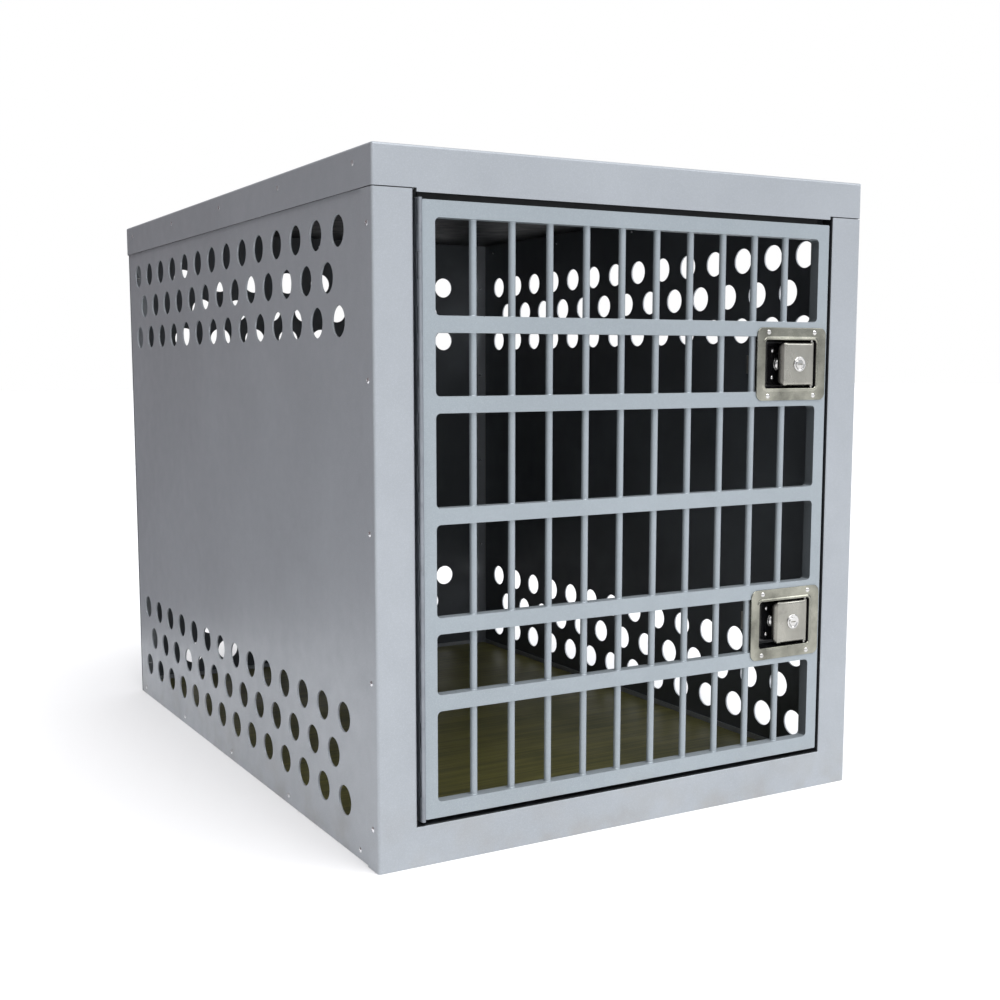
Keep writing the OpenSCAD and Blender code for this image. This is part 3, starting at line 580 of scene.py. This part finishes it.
def make_rods():
    """Each rod, with the little fillet of paint and weld where it enters a bar."""
    gaps = window_rows()
    flare, run, steps = 0.9 * mm, 1.6 * mm, 5
    turns = [math.pi / 2 * k / steps for k in range(steps + 1)]
    fillet = [(flare * (1 - math.sin(turn)), run * (1 - math.cos(turn))) for turn in turns]
    for node in [n for n in nodes if n.startswith("door_rod_")]:
        a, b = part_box(node)
        radius = (b.x - a.x) / 2
        centre = Vector(((a.x + b.x) / 2, (a.y + b.y) / 2, 0))
        profile = [(0, a.z), (radius, a.z)]
        for z0, z1 in gaps:
            if z0 < a.z or z1 > b.z:
                continue
            profile += [(radius + out, z0 + up) for out, up in fillet]
            profile += [(radius + out, z1 - up) for out, up in reversed(fillet)]
        profile += [(radius, b.z), (0, b.z)]
        work = bmesh.new()
        lathe(work, profile, centre, (0, 0, 1), sides=28)
        piece_from(work, node + "_finished", node, weighted=False)


def make_hinge():
    rounded_copy("hinge_frame_leaf", 0.16 * mm, 2)
    rounded_copy("hinge_door_leaf", 0.16 * mm, 2)
    rounded_copy("hinge_pin", 0.25 * mm, 3)


# ---------------------------------------------------------------- rivets

def rivet_profile(head_r, head_h, length):
    """A blind rivet: dome with the dimple its mandrel left, a shank, and a bulb at the blind end."""
    dimple_r, dimple_h = 0.9 * mm, 0.35 * mm
    shank_r, bulb_r = 1.55 * mm, 2.2 * mm
    sphere = (head_r ** 2 + head_h ** 2) / (2 * head_h)
    profile = [(0, head_h - dimple_h), (dimple_r * 0.7, head_h - dimple_h)]
    for k in range(7):
        r = dimple_r + (head_r * 0.985 - dimple_r) * k / 6
        profile.append((r, math.sqrt(sphere ** 2 - r ** 2) - sphere + head_h))
    profile += [(head_r, 0.08 * mm), (head_r, 0), (shank_r, 0)]
    bulb = length - head_h
    profile += [(shank_r, -bulb + 1.6 * mm), (bulb_r, -bulb + 1.2 * mm), (bulb_r, -bulb + 0.5 * mm)]
    profile += [(bulb_r * 0.6, -bulb), (0, -bulb)]
    return profile[::-1]


def make_rivets(node, axis_of):
    """All rivets of one CAD node. axis_of(middle) is the direction that a rivet's head faces."""
    work = bmesh.new()
    for a, b in islands(node):
        middle = (a + b) / 2
        axis = Vector(axis_of(middle))
        along = [i for i in range(3) if abs(axis[i]) > 0.5][0]
        across = (along + 1) % 3
        length = b[along] - a[along]
        top = b[along] if axis[along] > 0 else a[along]
        head_h = 1.2 * mm
        base = middle.copy()
        base[along] = top - axis[along] * head_h
        lathe(work, rivet_profile((b[across] - a[across]) / 2, head_h, length), base, axis, sides=28)
    bmesh.ops.recalc_face_normals(work, faces=work.faces)
    piece_from(work, node + "_finished", node, weighted=False)


def make_all_rivets():
    corner = 20 * mm

    def outwards(p):
        if p.y > high.y - corner and abs(p.x) < high.x - corner:
            return (0, 1, 0)
        return (math.copysign(1, p.x), 0, 0)

    for node in ("cap_rivets", "front_corner_rivets", "back_corner_rivets", "pan_rivets"):
        make_rivets(node, outwards)
    for node in ("hinge_frame_rivets", "hinge_door_rivets", "keeper_rivets"):
        rounded_copy(node, 0.1 * mm, 2)


# ---------------------------------------------------------------- paddle latches

plate_w, plate_h, plate_t = 102 * mm, 82 * mm, 1.5 * mm
recess_w, recess_h, recess_d = 75.5 * mm, 54 * mm, 15.5 * mm
recess_x = -1.75 * mm
bead_proud = 1.1 * mm
pin_x, pin_y = 32.5 * mm, 2.2 * mm


def latch_base(k):
    """The middle of a latch's face plate, on the door's front face."""
    a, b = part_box("latch_dish_" + k)
    return Vector(((a.x + b.x) / 2, a.y + plate_t + bead_proud, (a.z + b.z) / 2))


def recess_ring(out, y, corner=3.5 * mm):
    """The recess's outline, grown by out."""
    half = recess_w / 2 + out
    r = max(corner + out, 0.6 * mm)
    return ring(recess_x - half, recess_x + half, recess_h / 2 + out, r, r, y)


def make_dish(k):
    """The pressed face plate: rolled rim, round bead, deep recess painted black as its shade and dark
    reflection, and its back.
    """
    base = latch_base(k)
    half_w, half_h = plate_w / 2, plate_h / 2

    def plate_ring(inset, y):
        r = 8 * mm - inset
        return ring(-half_w + inset, half_w - inset, half_h - inset, r, r, y)

    back = [recess_ring(plate_t - 0.9 * mm, recess_d + plate_t), recess_ring(plate_t, recess_d + 0.4 * mm),
            recess_ring(plate_t, 0.8 * mm), recess_ring(plate_t + 0.8 * mm, 0)]
    rim = [plate_ring(0.3 * mm, 0), plate_ring(0, -0.25 * mm), plate_ring(0, -plate_t + 0.6 * mm),
           plate_ring(0.2 * mm, -plate_t + 0.18 * mm), plate_ring(0.65 * mm, -plate_t)]
    bead = [(4.2, 0.0), (3.7, 0.06), (3.2, 0.28), (2.8, 0.6), (2.35, 0.9), (1.8, 1.07), (1.25, 1.1),
            (0.75, 0.98), (0.35, 0.65), (0.1, 0.2), (0.0, -0.4)]
    crest = [recess_ring(out * mm, -plate_t - up * mm) for out, up in bead]
    wall = [recess_ring(0, 0.6 * mm), recess_ring(0, recess_d - 3 * mm),
            recess_ring(-0.2 * mm, recess_d - 1.5 * mm), recess_ring(-0.8 * mm, recess_d - 0.5 * mm),
            recess_ring(-2.0 * mm, recess_d)]
    rings = back + rim + crest + wall
    bright = len(back) + len(rim) + len(crest) - 2
    skins = [0] * bright + [1] * (len(rings) - 1 - bright)
    work = bmesh.new()
    loft(work, rings, base, skins)
    bmesh.ops.recalc_face_normals(work, faces=work.faces)
    node = "latch_dish_" + k
    dish = piece_from(work, node + "_finished", node, finishes["latch_dish"], recess_painted_shade, smooth_deg=50)
    slot = bmesh.new()
    deep = Vector((0, recess_d, 0))
    block(slot, base + deep + Vector((20, -2, -5)) * mm, base + deep + Vector((35, 4, 5)) * mm, 0.8 * mm)
    cut_out(dish, slot)


def make_paddle(k):
    """The pull: a pressed tray whose free edge is a thin lip that sweeps back, with a knuckle on its
    pin and a tail behind."""
    base = latch_base(k)
    left, right, half = pin_x - 46 * mm, pin_x + 1.0 * mm, 25 * mm
    face = pin_y - 2.7 * mm
    lip_w, lip_back = 3.0 * mm, 4.2 * mm
    thinning_w, thinnest = 10 * mm, 0.35
    sheet, skirt, tail = 1.3 * mm, 6.5 * mm, 25 * mm

    def tray(out, y):
        return ring(left - out, right + out * 0.2, half + out, 7 * mm + out, 1.5 * mm, y, steps=7)

    outer = [tray(0, face + skirt), tray(0, face + 3.4 * mm), tray(-0.3 * mm, face + 2.3 * mm),
             tray(-1.1 * mm, face + 1.15 * mm), tray(-2.2 * mm, face + 0.4 * mm),
             tray(-3.3 * mm, face + 0.08 * mm), tray(-4.2 * mm, face)]
    inner = [tray(-4.6 * mm, face + sheet), tray(-sheet - 1.6 * mm, face + sheet + 0.6 * mm),
             tray(-sheet, face + 3.6 * mm), tray(-sheet, face + skirt)]
    work = bmesh.new()
    loft(work, inner + outer, base)
    for along in (0.7 * mm, 1.4 * mm, 2.5 * mm, lip_w, 5 * mm, 6.5 * mm, 8 * mm, thinning_w):
        cut_x = Vector((left + along, 0, 0)) + base
        everything = work.verts[:] + work.edges[:] + work.faces[:]
        bmesh.ops.bisect_plane(work, geom=everything, plane_co=cut_x, plane_no=(1, 0, 0))
    for vert in work.verts:
        along = max(0.0, vert.co.x - base.x - left)
        full = min(1.0, along / thinning_w)
        depth = (vert.co.y - base.y - face) * (thinnest + (1 - thinnest) * full ** 2)
        vert.co.y = base.y + face + depth + lip_back * max(0.0, 1 - along / lip_w)
    bmesh.ops.recalc_face_normals(work, faces=work.faces)
    knuckle = [(0, -half), (2.3 * mm, -half), (2.7 * mm, -half + 0.4 * mm), (2.7 * mm, half - 0.4 * mm),
               (2.3 * mm, half), (0, half)]
    lathe(work, knuckle, base + Vector((pin_x, pin_y, 0)), (0, 0, 1), sides=32)
    block(work, base + Vector((pin_x - 1.5 * mm, pin_y, -4 * mm)),
          base + Vector((pin_x + 1.5 * mm, pin_y + tail, 4 * mm)), 0.5 * mm)
    tip = [(0, -4), (1.7, -4), (2, -3.7), (2, 3.7), (1.7, 4), (0, 4)]
    tip_base = base + Vector((pin_x, pin_y + tail, 0))
    lathe(work, [(r * mm, h * mm) for r, h in tip], tip_base, (0, 0, 1), sides=24)
    node = "paddle_" + k
    piece_from(work, node + "_finished", node, smooth_deg=35)


def make_lock(k):
    """The key lock: a bright bezel, a dished ring, and the plug's own disc with its keyway."""
    node = "lock_plug_" + k
    a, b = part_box(node)
    proud = 1.4 * mm
    base = Vector(((a.x + b.x) / 2, a.y + proud, (a.z + b.z) / 2))
    depth = b.y - a.y - proud
    barrel = [(0, -depth), (7.0 * mm, -depth), (7.4 * mm, -depth + 0.4 * mm)]
    bezel = [(7.4, 0), (8.55, 0), (8.7, 0.15), (8.7, 0.6), (8.45, 1.05), (7.9, 1.32), (7.2, 1.4),
             (6.6, 1.25), (6.0, 0.85), (5.5, 0.62), (5.15, 0.6), (5.1, 1.0), (4.9, 1.15), (0, 1.22)]
    work = bmesh.new()
    lathe(work, barrel + [(r * mm, h * mm) for r, h in bezel], base, (0, -1, 0), sides=48)
    bmesh.ops.recalc_face_normals(work, faces=work.faces)
    plug = piece_from(work, node + "_finished", node, smooth_deg=50)
    keyway = bmesh.new()
    block(keyway, base + Vector((-3.4, -3, -0.75)) * mm, base + Vector((3.4, 3.2, 0.75)) * mm, 0.3 * mm)
    cut_out(plug, keyway)


def make_stud(k):
    """The domed stop under the paddle's free edge, polished, with its nut behind the recess."""
    node = "stop_stud_" + k
    a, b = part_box(node)
    dome_r, dome_h = 9 * mm, 5.5 * mm
    base = Vector(((a.x + b.x) / 2, a.y + dome_h, (a.z + b.z) / 2))
    sphere = (dome_r ** 2 + dome_h ** 2) / (2 * dome_h)
    reach = math.degrees(math.asin(dome_r / sphere))
    dome = arc((0, dome_h - sphere), sphere, 90 - reach * 0.97, 90, 14)
    dome[-1] = (0, dome_h)
    tail = b.y - base.y
    profile = [(0, -tail), (2 * mm, -tail), (2 * mm, 0), (dome_r - 0.3 * mm, 0), (dome_r, 0.15 * mm)] + dome
    work = bmesh.new()
    lathe(work, profile, base, (0, -1, 0), sides=48)
    nut = [(2, 1.6), (4.2, 1.6), (4.6, 1.9), (4.6, 4.7), (4.2, 5.0), (2, 5.0), (2, 1.6)]
    lathe(work, [(r * mm, h * mm) for r, h in nut], base, (0, 1, 0), sides=6)
    bmesh.ops.remove_doubles(work, verts=work.verts, dist=weld_gap)
    bmesh.ops.recalc_face_normals(work, faces=work.faces)
    piece_from(work, node + "_finished", node, smooth_deg=50, weighted=False)


def make_spring(k):
    """The bolt's spring: a wire helix with closed end turns."""
    node = "bolt_spring_" + k
    a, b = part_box(node)
    wire = 0.5 * mm
    radius = (b.z - a.z) / 2 - wire
    middle_y, middle_z = (a.y + b.y) / 2, (a.z + b.z) / 2
    turns, per_turn, closed = 11, 28, 1.0
    x0, x1 = a.x + wire, b.x - wire
    data = bpy.data.curves.new(node + "_finished", "CURVE")
    data.dimensions = "3D"
    data.bevel_depth, data.bevel_resolution, data.use_fill_caps = wire, 3, True
    spline = data.splines.new("POLY")
    count = turns * per_turn + 1
    spline.points.add(count - 1)
    free = turns - 2 * closed
    pitch = (x1 - x0 - 2 * closed * 2 * wire) / free
    for i, point in enumerate(spline.points):
        t = i / per_turn
        x = min(t, closed) * 2 * wire + max(0, min(t, turns - closed) - closed) * pitch
        x += max(0, t - turns + closed) * 2 * wire
        angle = 2 * math.pi * t
        point.co = (x0 + x, middle_y + radius * math.cos(angle), middle_z + radius * math.sin(angle), 1)
    data.materials.append(finishes["spring_steel"])
    piece = in_scene(node + "_finished", data)
    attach(piece, body_of[node])
    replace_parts(piece, node)


def make_latches():
    for k in latch_names:
        make_dish(k)
        make_paddle(k)
        make_lock(k)
        make_stud(k)
        make_spring(k)
        rounded_copy("latch_rivets_" + k, 0.15 * mm, 2)
        rounded_copy("paddle_pin_" + k, 0.3 * mm, 3)
        rounded_copy("bolt_housing_" + k, 0.3 * mm, 2)
        rounded_copy("bolt_" + k, 0.5 * mm, 3)
        rounded_copy("lock_cam_" + k, 0.3 * mm, 2)
        rounded_copy("keeper_" + k, 0.3 * mm, 3)


make_camera()
make_world()
soft_sun("key", (0.08, 0.42, -1.0), 60, 3.0, (1.0, 0.995, 0.985))
soft_sun("glint", (-0.68, 0.52, -0.52), 26, 0.45)
make_floor()
make_sheets()
make_door_frame()
make_rods()
make_hinge()
make_all_rivets()
make_latches()
